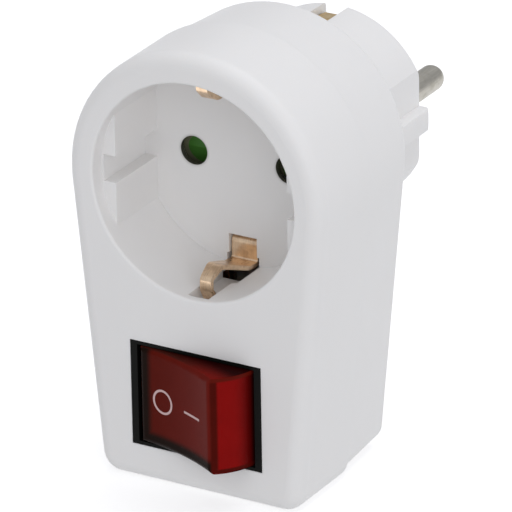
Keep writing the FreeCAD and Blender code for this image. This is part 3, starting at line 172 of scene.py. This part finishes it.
# moulded plastic, shared by the plastics; scales are per metre
mouldedValues = {
    "grainDetail": (3.0, 0.6),
    "flow": (1.0, 0.5, 0.3),  # the melt ran mostly along the casing's height
    "cloud": (130.0, 4.0),
    "patch": (260.0, 2.0),
}


def makeMouldedGroup(values):
    group, given, result = newGroup(
        "mouldedSurface",
        [
            ("Color", "Color", (0.8, 0.8, 0.8, 1)),
            ("Mottle", "Float", 0.02),
            ("Grain Size", "Float", 0.25),
            ("Roughness", "Float", 0.4),
            ("Roughness Spread", "Float", 0.06),
        ],
        [("Color", "Color"), ("Roughness", "Float"), ("Height", "Float")],
    )
    spot = addNode(group, "TexCoord").outputs["Object"]
    grainScale = maths(group, "DIVIDE", 1000.0, given["Grain Size"])
    grain = noise(group, spot, grainScale, *values["grainDetail"])
    flow = addNode(group, "Mapping", {"Vector": spot, "Scale": values["flow"]}).outputs[0]
    cloud = maths(group, "SUBTRACT", noise(group, flow, *values["cloud"]), 0.5)
    shade = maths(group, "MULTIPLY_ADD", cloud, given["Mottle"], 1.0)
    group.links.new(scaled(group, given["Color"], shade), result["Color"])
    patchy = maths(group, "SUBTRACT", noise(group, spot, *values["patch"]), 0.5)
    rough = maths(group, "MULTIPLY_ADD", patchy, given["Roughness Spread"], given["Roughness"])
    group.links.new(rough, result["Roughness"])
    group.links.new(grain, result["Height"])
    return group


# rolled and drawn metal, shared by the metals; scales are per metre
drawnValues = {
    "stain": (420.0, 5.0, 0.6),
    "stainEdge": (0.42, 0.68),
    "stainDull": 0.2,
    "streakDepth": 0.5,
    "lineDull": 0.18,
}


def makeDrawnMetalGroup(values):
    group, given, result = newGroup(
        "drawnMetal",
        [
            ("Color", "Color", (0.8, 0.6, 0.4, 1)),
            ("Tarnish", "Color", (0.4, 0.3, 0.2, 1)),
            ("Tarnish Amount", "Float", 0.4),
            ("Stretch", "Vector", (1, 0.05, 0.05)),
            ("Line Scale", "Float", 5000.0),
            ("Roughness", "Float", 0.25),
        ],
        [("Color", "Color"), ("Roughness", "Float"), ("Height", "Float")],
    )
    spot = addNode(group, "TexCoord").outputs["Object"]
    lines = noise(group, vectors(group, "MULTIPLY", spot, given["Stretch"]), given["Line Scale"])
    stains = ramp(group, noise(group, spot, *values["stain"]), *values["stainEdge"])
    mask = maths(group, "MULTIPLY", stains, given["Tarnish Amount"])
    uneven = maths(group, "SUBTRACT", lines, 0.5)
    streak = maths(group, "MULTIPLY_ADD", uneven, values["streakDepth"], 1.0)
    mixed = mixColor(group, mask, given["Color"], given["Tarnish"])
    group.links.new(scaled(group, mixed, streak), result["Color"])
    rough = maths(group, "MULTIPLY_ADD", lines, values["lineDull"], given["Roughness"])
    rough = maths(group, "MULTIPLY_ADD", mask, values["stainDull"], rough)
    group.links.new(rough, result["Roughness"])
    group.links.new(lines, result["Height"])
    return group


moulded = makeMouldedGroup(mouldedValues)
drawnMetal = makeDrawnMetalGroup(drawnValues)
print("shader groups made")


# finishes; a bump is its strength and its depth in metres
plasticBump = (0.12, 0.00004)
metalBump = (0.15, 0.00003)


def relief(tree, height, bump):
    strength, distance = bump
    inputs = {"Strength": strength, "Distance": distance, "Height": height}
    bent = addNode(tree, "Bump", inputs).outputs[0]
    tree.links.new(bent, tree.nodes["Principled BSDF"].inputs["Normal"])


def finish(name, group, groupValues, bump, shaderValues):
    material = bpy.data.materials.new(name)
    material.use_nodes = True
    tree = material.node_tree
    principled = tree.nodes["Principled BSDF"]
    surface = tree.nodes.new("ShaderNodeGroup")
    surface.node_tree = group
    surface.name = "surface"
    for key, value in groupValues.items():
        surface.inputs[key].default_value = value
    tree.links.new(surface.outputs["Color"], principled.inputs["Base Color"])
    tree.links.new(surface.outputs["Roughness"], principled.inputs["Roughness"])
    relief(tree, surface.outputs["Height"], bump)
    for key, value in shaderValues.items():
        principled.inputs[key].default_value = value
    return material


def paint(material, *names):
    for name in names:
        slots = nodes[name].data.materials
        slots.clear()
        slots.append(material)


# colour, mottle, grain size in mm, roughness and its spread, gloss
plasticValues = {
    "whiteHousing": ((0.885, 0.874, 0.862, 1), 0.03, 0.35, 0.42, 0.08, 0.4),
    "blackFrame": ((0.0050, 0.0056, 0.0048, 1), 0.3, 0.2, 0.34, 0.1, 0.07),
    "greyCarrier": ((0.74, 0.73, 0.70, 1), 0.05, 0.3, 0.5, 0.1, 0.4),
    "greenShutter": ((0.070, 0.225, 0.034, 1), 0.15, 0.3, 0.4, 0.1, 0.3),
    "creamAcetal": ((0.72, 0.68, 0.56, 1), 0.05, 0.3, 0.35, 0.1, 0.5),
    "lacqueredBody": ((0.60, 0.46, 0.28, 1), 0.1, 0.4, 0.3, 0.1, 0.5),
    "markInk": ((0.66, 0.46, 0.45, 1), 0.12, 0.2, 0.45, 0.1, 0.2),
}
plastics = {}
for name, (color, mottle, grain, roughness, spread, gloss) in plasticValues.items():
    plastics[name] = finish(
        name,
        moulded,
        {
            "Color": color,
            "Mottle": mottle,
            "Grain Size": grain,
            "Roughness": roughness,
            "Roughness Spread": spread,
        },
        plasticBump,
        {"IOR": 1.5, "Specular IOR Level": gloss},
    )

# colour, tarnish and how much of it, the way the drawn lines run, roughness
metalValues = {
    "bronzeClip": ((0.90, 0.68, 0.47, 1), (0.42, 0.25, 0.14, 1), 0.5, (1, 0.04, 0.04), 0.2),
    "brassStrip": ((0.66, 0.50, 0.27, 1), (0.42, 0.29, 0.14, 1), 0.35, (1, 0.04, 0.04), 0.3),
    "nickelPin": ((0.47, 0.45, 0.40, 1), (0.36, 0.34, 0.28, 1), 0.5, (1, 0.05, 1), 0.28),
    "copperArm": ((0.72, 0.42, 0.28, 1), (0.34, 0.17, 0.10, 1), 0.5, (0.05, 1, 1), 0.3),
    "tinTerminal": ((0.62, 0.61, 0.58, 1), (0.42, 0.41, 0.38, 1), 0.4, (1, 0.05, 1), 0.34),
    "zincScrew": ((0.60, 0.60, 0.60, 1), (0.36, 0.36, 0.36, 1), 0.4, (1, 1, 1), 0.32),
    "springSteel": ((0.48, 0.48, 0.49, 1), (0.28, 0.27, 0.26, 1), 0.3, (1, 1, 1), 0.25),
}
metals = {}
for name, (color, tarnish, amount, stretch, roughness) in metalValues.items():
    metals[name] = finish(
        name,
        drawnMetal,
        {
            "Color": color,
            "Tarnish": tarnish,
            "Tarnish Amount": amount,
            "Stretch": stretch,
            "Roughness": roughness,
        },
        metalBump,
        {"Metallic": 1.0},
    )

# light sinks into the casing a little, and the pin holes' cut edges lie in shadow; sizes in mm
casingValues = {
    "subsurface": 0.25,
    "subsurfaceScale": 1.2,
    "subsurfaceTint": (1.0, 0.95, 0.9),
    "holeRadius": 2.72,
    "wallSoftness": 0.04,
    "wallDepth": (-0.45, -0.35),  # where the shading starts and is full
    "lipRadius": 3.25,
    "lipDepth": (-0.7, -0.6),
    "lipShade": 0.22,
    "holeShade": (0.075, 0.066, 0.055, 1),
}


# distance from a pin hole's axis and depth behind its middle, in mm
def fromHole(tree, spot, hole):
    offset = scaled(tree, vectors(tree, "SUBTRACT", spot, hole), 1000.0)
    across = vectors(tree, "MULTIPLY", offset, (1, 0, 1))
    away = addNode(tree, "VectorMath", {0: across}, operation="LENGTH").outputs["Value"]
    return away, addNode(tree, "SeparateXYZ", {0: offset}).outputs[1]


def shadeColor(material, mask, shade):
    tree = material.node_tree
    socket = tree.nodes["Principled BSDF"].inputs["Base Color"]
    shaded = mixColor(tree, mask, socket.links[0].from_socket, shade)
    tree.links.new(shaded, socket)


def refineCasing(material, values):
    tree = material.node_tree
    principled = tree.nodes["Principled BSDF"]
    principled.inputs["Subsurface Weight"].default_value = values["subsurface"]
    principled.inputs["Subsurface Radius"].default_value = values["subsurfaceTint"]
    principled.inputs["Subsurface Scale"].default_value = values["subsurfaceScale"] / 1000
    spot = addNode(tree, "TexCoord").outputs["Object"]
    edge = values["holeRadius"]
    masks = []
    for hole in pinHoles:
        away, depth = fromHole(tree, spot, hole)
        wall = ramp(tree, away, edge + values["wallSoftness"], edge)
        wall = maths(tree, "MULTIPLY", wall, ramp(tree, depth, *values["wallDepth"]))
        # painted shade: a ring round each hole's mouth is darkened a little, where a rounded lip would lie in
        # shade
        lip = ramp(tree, away, values["lipRadius"], edge)
        lip = maths(tree, "MULTIPLY", lip, ramp(tree, depth, *values["lipDepth"]))
        lip = maths(tree, "MULTIPLY", lip, values["lipShade"])
        masks.append(maths(tree, "MAXIMUM", wall, lip))
    shadeColor(material, maths(tree, "MAXIMUM", *masks), values["holeShade"])


refineCasing(plastics["whiteHousing"], casingValues)

# the closed shutter lies in the shadow of each pin hole's rim; sizes in mm
shutterValues = {
    "drop": 0.9,  # the light reaches a little lower than the hole
    "ring": (2.75, 2.95),  # where the shade starts and is full, from the hole's axis
    "fade": (5.0, 5.8),
    "shade": (0.20, 0.195, 0.125, 1),
}


def refineShutter(material, values):
    tree = material.node_tree
    spot = addNode(tree, "TexCoord").outputs["Object"]
    rings = []
    for hole in pinHoles:
        middle = hole - Vector((0, 0, values["drop"])) / 1000
        away = fromHole(tree, spot, middle)[0]
        ring = ramp(tree, away, *values["ring"])
        rings.append(maths(tree, "SUBTRACT", ring, ramp(tree, away, *values["fade"])))
    shadeColor(material, maths(tree, "MAXIMUM", *rings), values["shade"])


refineShutter(plastics["greenShutter"], shutterValues)
paint(plastics["whiteHousing"], "front_cover", "rear_housing")
paint(plastics["blackFrame"], "switch_body")
paint(plastics["greyCarrier"], "contact_carrier")
paint(plastics["greenShutter"], "child_shutter")
paint(plastics["creamAcetal"], "plunger_upper", "plunger_lower")
paint(plastics["lacqueredBody"], "lamp_resistor")
paint(metals["bronzeClip"], "earth_clip_upper", "earth_clip_lower")
paint(metals["brassStrip"], "earth_strap", "plug_earth_strip_upper", "plug_earth_strip_lower")
paint(metals["nickelPin"], "plug_pin_left", "plug_pin_right", "earth_rivets")
paint(metals["brassStrip"], "socket_contact_left", "socket_contact_right")
paint(metals["copperArm"], "contact_arm_upper", "contact_arm_lower")
paint(metals["copperArm"], "contact_bar_left", "contact_bar_right")
paint(metals["tinTerminal"], "plug_bar_left", "plug_bar_right")
for kind in ("line", "load"):
    paint(metals["tinTerminal"], kind + "_terminal_upper", kind + "_terminal_lower")
paint(metals["zincScrew"], "case_screws")
paint(metals["springSteel"], "shutter_spring", "plunger_spring_upper", "plunger_spring_lower")
print("plastics and metals given out")


# clear red rocker whose colours hold painted light and shade: darker painted bands where its walls are seen
# edge-on, an end wall painted bright by the crest and darker deeper in, and sides painted brighter towards the
# crest; sizes in mm
rockerValues = {
    "crest": 9.0,  # from the middle to where the face turns into the end wall
    "crestTurn": (-0.1, 0.35),  # the turn's reach, from the crest
    "halfHeight": 9.15,
    "sideTurn": (-0.25, -0.02),
    "farBand": (6.2, 7.9),  # where the bands start and are full, from the rocker's middle
    "lowerBand": (5.9, 7.5),
    "crestBand": (5.45, 5.95),
    "lipBand": (8.1, 8.5),
    # painted shade: the end wall and the sides darken deeper into the frame; painted light: the sides brighten
    # towards the crest
    "endFade": (-2.1, 3.1),  # the end wall darkens below this height
    "sideFade": (2.0, 6.6),
    "sideLightStart": -2.0,  # from here to the crest the side grows brighter
    # painted colours: the face brighter towards the crest as a painted reflection, with dark painted bands at its
    # edges; the end wall bright red with a lighter painted highlight at its top and painted shade deeper in; the
    # sides painted lighter near the crest and darker deeper in
    "faceInner": (0.104, 0.008, 0.004, 1),
    "faceOuter": (0.148, 0.011, 0.007, 1),
    "faceEdge": (0.013, 0.006, 0.004, 1),
    "endWall": (0.250, 0.0045, 0.0040, 1),
    "endEdge": (0.078, 0.0040, 0.0020, 1),
    "endLip": (0.120, 0.008, 0.004, 1),
    "endDeep": (0.024, 0.001, 0.001, 1),
    "sideFar": (0.060, 0.010, 0.006, 1),
    "sideNear": (0.200, 0.008, 0.005, 1),
    "sideDeep": (0.020, 0.001, 0.001, 1),
    "roughness": 0.16,
    "roughnessSpread": 0.08,
    "sideRoughness": 0.45,  # more than the face's
    "gloss": 0.025,
    "cloud": (300.0, 3.0),
    "cloudDepth": 0.25,
    "ripple": 500.0,
    "rippleBump": (0.1, 0.00005),  # strength, and depth in metres
}


def makeRockerFinish(values):
    material = bpy.data.materials.new("clearRedRocker")
    material.use_nodes = True
    tree = material.node_tree
    principled = tree.nodes["Principled BSDF"]
    spot = addNode(tree, "TexCoord").outputs["Object"]
    inputs = {"Vector": spot, "Center": rockerPivot, "Angle": rockerTilt}
    turned = addNode(tree, "VectorRotate", inputs, rotation_type="Z_AXIS").outputs[0]
    offset = scaled(tree, vectors(tree, "SUBTRACT", turned, rockerPivot), 1000.0)
    axes = addNode(tree, "SeparateXYZ", {0: offset}).outputs
    along = axes[0]
    height = maths(tree, "MULTIPLY", axes[1], -1.0)
    sideways = axes[2]
    downwards = maths(tree, "MULTIPLY", sideways, -1.0)
    backwards = maths(tree, "MULTIPLY", along, -1.0)
    crest = values["crest"]

    # the face: painted reflection brighter towards the crest, painted shade in bands along its far and lower edges
    outer = ramp(tree, along, -crest, crest)
    face = mixColor(tree, outer, values["faceInner"], values["faceOuter"])
    lowerBand = ramp(tree, downwards, *values["lowerBand"])
    band = maths(tree, "MAXIMUM", lowerBand, ramp(tree, backwards, *values["farBand"]))
    face = mixColor(tree, band, face, values["faceEdge"])

    # the end wall: painted light fading to painted shade deeper in, darker painted bands by the crest and at the
    # bottom, a lighter painted highlight at its top
    shallow = ramp(tree, height, *values["endFade"])
    end = mixColor(tree, shallow, values["endDeep"], values["endWall"])
    lowerLip = ramp(tree, downwards, *values["lipBand"])
    rim = maths(tree, "MAXIMUM", ramp(tree, height, *values["crestBand"]), lowerLip)
    end = mixColor(tree, rim, end, values["endEdge"])
    upperLip = ramp(tree, sideways, *values["lipBand"])
    end = mixColor(tree, upperLip, end, values["endLip"])
    fromMiddle = maths(tree, "ABSOLUTE", along)
    onEnd = ramp(tree, fromMiddle, *(crest + reach for reach in values["crestTurn"]))
    color = mixColor(tree, onEnd, face, end)

    # the top and bottom sides: painted light towards the crest, painted shade deeper in
    near = ramp(tree, along, values["sideLightStart"], crest)
    side = mixColor(tree, near, values["sideFar"], values["sideNear"])
    side = mixColor(tree, ramp(tree, height, *values["sideFade"]), values["sideDeep"], side)
    spread = maths(tree, "ABSOLUTE", sideways)
    onSide = ramp(tree, spread, *(values["halfHeight"] + reach for reach in values["sideTurn"]))
    color = mixColor(tree, onSide, color, side)

    cloud = maths(tree, "SUBTRACT", noise(tree, spot, *values["cloud"]), 0.5)
    shade = maths(tree, "MULTIPLY_ADD", cloud, values["cloudDepth"], 1.0)
    tree.links.new(scaled(tree, color, shade), principled.inputs["Base Color"])
    rough = maths(tree, "MULTIPLY_ADD", cloud, values["roughnessSpread"], values["roughness"])
    rough = maths(tree, "MULTIPLY_ADD", onSide, values["sideRoughness"], rough)
    tree.links.new(rough, principled.inputs["Roughness"])
    relief(tree, noise(tree, spot, values["ripple"]), values["rippleBump"])
    principled.inputs["Specular IOR Level"].default_value = values["gloss"]
    return material


paint(makeRockerFinish(rockerValues), "rocker")

lampValues = {
    "glass": (0.95, 0.86, 0.80, 1),
    "glassIor": 1.48,
    "roughness": (0.05, 0.05),  # even part and patchy part
    "patch": 700.0,
    "swirl": 260.0,
    "swirlBump": (0.2, 0.0001),
}


def makeLampGlass(values):
    material = bpy.data.materials.new("lampGlass")
    material.use_nodes = True
    tree = material.node_tree
    principled = tree.nodes["Principled BSDF"]
    principled.inputs["Base Color"].default_value = values["glass"]
    principled.inputs["Transmission Weight"].default_value = 1.0
    principled.inputs["IOR"].default_value = values["glassIor"]
    spot = addNode(tree, "TexCoord").outputs["Object"]
    even, patchy = values["roughness"]
    rough = maths(tree, "MULTIPLY_ADD", noise(tree, spot, values["patch"]), patchy, even)
    tree.links.new(rough, principled.inputs["Roughness"])
    relief(tree, noise(tree, spot, values["swirl"]), values["swirlBump"])
    return material


paint(makeLampGlass(lampValues), "neon_lamp")
print("rocker and lamp finished")


# the signs of off and on, printed on the rocker's dished face; sizes in mm
markValues = {
    "offCentre": -4.0,
    "offRadius": 2.12,
    "offLine": 0.42,
    "onStart": 1.5,
    "onEnd": 5.9,
    "onLine": 0.42,
    "ringSteps": 72,
    "ringRows": 3,
    "barSteps": 16,
    "barRows": 2,
    "above": 15,  # well over the face, where the drop on to it starts
    "lift": 0.02,
    "thickness": 0.03,
}


def rockerPlace(along, height, sideways):
    turn = -rockerTilt
    x = along * math.cos(turn) + height * math.sin(turn)
    y = along * math.sin(turn) - height * math.cos(turn)
    return rockerPivot + Vector((x, y, sideways)) / 1000


def makeMark(name, rows, closed, values):
    face = BVHTree.FromObject(nodes["rocker"], bpy.context.evaluated_depsgraph_get())
    inward = (rockerPlace(0, -1, 0) - rockerPlace(0, 0, 0)).normalized()
    mesh = bmesh.new()
    strips = []
    for row in rows:
        strip = []
        for along, sideways in row:
            above = rockerPlace(along, values["above"], sideways)
            hit = face.ray_cast(above, inward)[0]
            strip.append(mesh.verts.new(hit - inward * (values["lift"] / 1000)))
        strips.append(strip)
    count = len(rows[0])
    for inner, outer in zip(strips, strips[1:]):
        for index in range(count if closed else count - 1):
            following = (index + 1) % count
            mesh.faces.new((inner[index], inner[following], outer[following], outer[index]))
    bmesh.ops.recalc_face_normals(mesh, faces=mesh.faces)
    if sum((panel.normal for panel in mesh.faces), Vector()).dot(inward) > 0:
        bmesh.ops.reverse_faces(mesh, faces=mesh.faces)
    data = bpy.data.meshes.new(name)
    mesh.to_mesh(data)
    mesh.free()
    mark = bpy.data.objects.new(name, data)
    bpy.context.collection.objects.link(mark)
    solid = mark.modifiers.new("thickness", "SOLIDIFY")
    solid.thickness = values["thickness"] / 1000
    solid.offset = 1.0
    data.materials.append(plastics["markInk"])
    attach(mark, "rocker")


def makeMarks(values):
    ring = []
    steps, rows = values["ringSteps"], values["ringRows"]
    turns = [math.tau * step / steps for step in range(steps)]
    for row in range(rows + 1):
        radius = values["offRadius"] + values["offLine"] * (row / rows - 0.5)
        circle = [(radius * math.cos(turn), radius * math.sin(turn)) for turn in turns]
        ring.append([(values["offCentre"] + along, sideways) for along, sideways in circle])
    makeMark("offMark", ring, True, values)
    bar = []
    steps, rows = values["barSteps"], values["barRows"]
    length = values["onEnd"] - values["onStart"]
    places = [values["onStart"] + length * step / steps for step in range(steps + 1)]
    for row in range(rows + 1):
        sideways = values["onLine"] * (row / rows - 0.5)
        bar.append([(along, sideways) for along in places])
    makeMark("onMark", bar, False, values)


makeMarks(markValues)
print("rocker marked")


# the plungers' coil springs, wound on the axes of their plain sleeves; sizes in mm
plungerSpringValues = {
    "coilRadius": 1.05,
    "wire": 0.3,
    "turns": 4.5,
    "restTurns": 0.75,  # turns that lie closed at each end
    "restClimb": 0.6,  # how much of the wire's thickness such a turn climbs
    "steps": 18,
    "roundness": 3,
}


def makePlungerSpring(name, values):
    low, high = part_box(name)
    middle = (Vector(low) + Vector(high)) / 2
    level = (middle.z - rockerPivot.z) * 1000
    vertices = [vertex.co for vertex in nodes[name].data.vertices]
    outward = (rockerPlace(0, 1, 0) - rockerPlace(0, 0, 0)).normalized()
    heights = [(place - rockerPivot).dot(outward) * 1000 for place in vertices]
    start = min(heights) + values["wire"] / 2
    rise = max(heights) - min(heights) - values["wire"]
    free, closed = values["turns"], values["restTurns"]
    climb = values["restClimb"] * values["wire"] * closed / rise
    steps = values["steps"]
    total = int((free + 2 * closed) * steps)
    curve = bpy.data.curves.new(name + "_coil", "CURVE")
    curve.dimensions = "3D"
    curve.bevel_depth = values["wire"] / 2000
    curve.bevel_resolution = values["roundness"]
    wire = curve.splines.new("NURBS")
    wire.points.add(total)
    for index in range(total + 1):
        turn = index / steps
        if turn < closed:
            share = climb * turn / closed
        elif turn > closed + free:
            share = 1 - climb * (1 - (turn - closed - free) / closed)
        else:
            share = climb + (turn - closed) / free * (1 - 2 * climb)
        angle = math.tau * turn
        spot = rockerPlace(
            values["coilRadius"] * math.cos(angle),
            start + rise * share,
            level + values["coilRadius"] * math.sin(angle),
        )
        wire.points[index].co = (*spot, 1)
    wire.order_u = 4
    wire.use_endpoint_u = True
    curve.use_fill_caps = True
    coil = bpy.data.objects.new(name + "_coil", curve)
    bpy.context.collection.objects.link(coil)
    curve.materials.append(metals["springSteel"])
    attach(coil, "rocker")
    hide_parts(name)


for side in ("upper", "lower"):
    makePlungerSpring("plunger_spring_" + side, plungerSpringValues)
print("plunger springs wound")


# floor and light
stageValues = {
    "floorSize": 3.0,
    "floorColor": (0.93, 0.93, 0.93, 1),
    "floorRoughness": 0.9,
    "floorGlow": 0.40,
    "lightColor": (0.955, 0.965, 1.0),
    "worldStrength": 0.57,
    "aim": (0, -0.03, 0),
    "lamps": {  # place, size, power
        "topLamp": ((0.2, 0.45, 1.55), 1.2, 6.8),
        "highLamp": ((0.1, -0.9, 1.4), 1.2, 1.9),
        "frontLamp": ((1.25, -1.15, 0.5), 1.0, 5.6),
        "sideLamp": ((1.5, -0.7, 0.1), 1.0, 1.2),
    },
}


def makeFloor(values):
    mesh = bmesh.new()
    bmesh.ops.create_grid(mesh, x_segments=1, y_segments=1, size=values["floorSize"])
    data = bpy.data.meshes.new("floor")
    mesh.to_mesh(data)
    mesh.free()
    floor = bpy.data.objects.new("floor", data)
    floor.location.z = cadLow.z
    bpy.context.collection.objects.link(floor)
    material = bpy.data.materials.new("paleFloor")
    material.use_nodes = True
    shader = material.node_tree.nodes["Principled BSDF"]
    shader.inputs["Base Color"].default_value = values["floorColor"]
    shader.inputs["Roughness"].default_value = values["floorRoughness"]
    shader.inputs["Emission Color"].default_value = (1, 1, 1, 1)
    shader.inputs["Emission Strength"].default_value = values["floorGlow"]
    data.materials.append(material)
    floor.visible_diffuse = False  # a white sweep that throws no light back up


def makeLight(values):
    world = bpy.data.worlds.new("studio")
    bpy.context.scene.world = world
    world.use_nodes = True
    sky = world.node_tree.nodes["Background"]
    sky.inputs["Color"].default_value = (*values["lightColor"], 1)
    sky.inputs["Strength"].default_value = values["worldStrength"]
    for name, (spot, size, power) in values["lamps"].items():
        light = bpy.data.lights.new(name, "AREA")
        light.size = size
        light.energy = power
        light.color = values["lightColor"]
        lamp = bpy.data.objects.new(name, light)
        lamp.location = spot
        toObject = Vector(values["aim"]) - Vector(spot)
        lamp.rotation_euler = toObject.to_track_quat("-Z", "Y").to_euler()
        bpy.context.collection.objects.link(lamp)


makeFloor(stageValues)
makeLight(stageValues)
print("stage set")
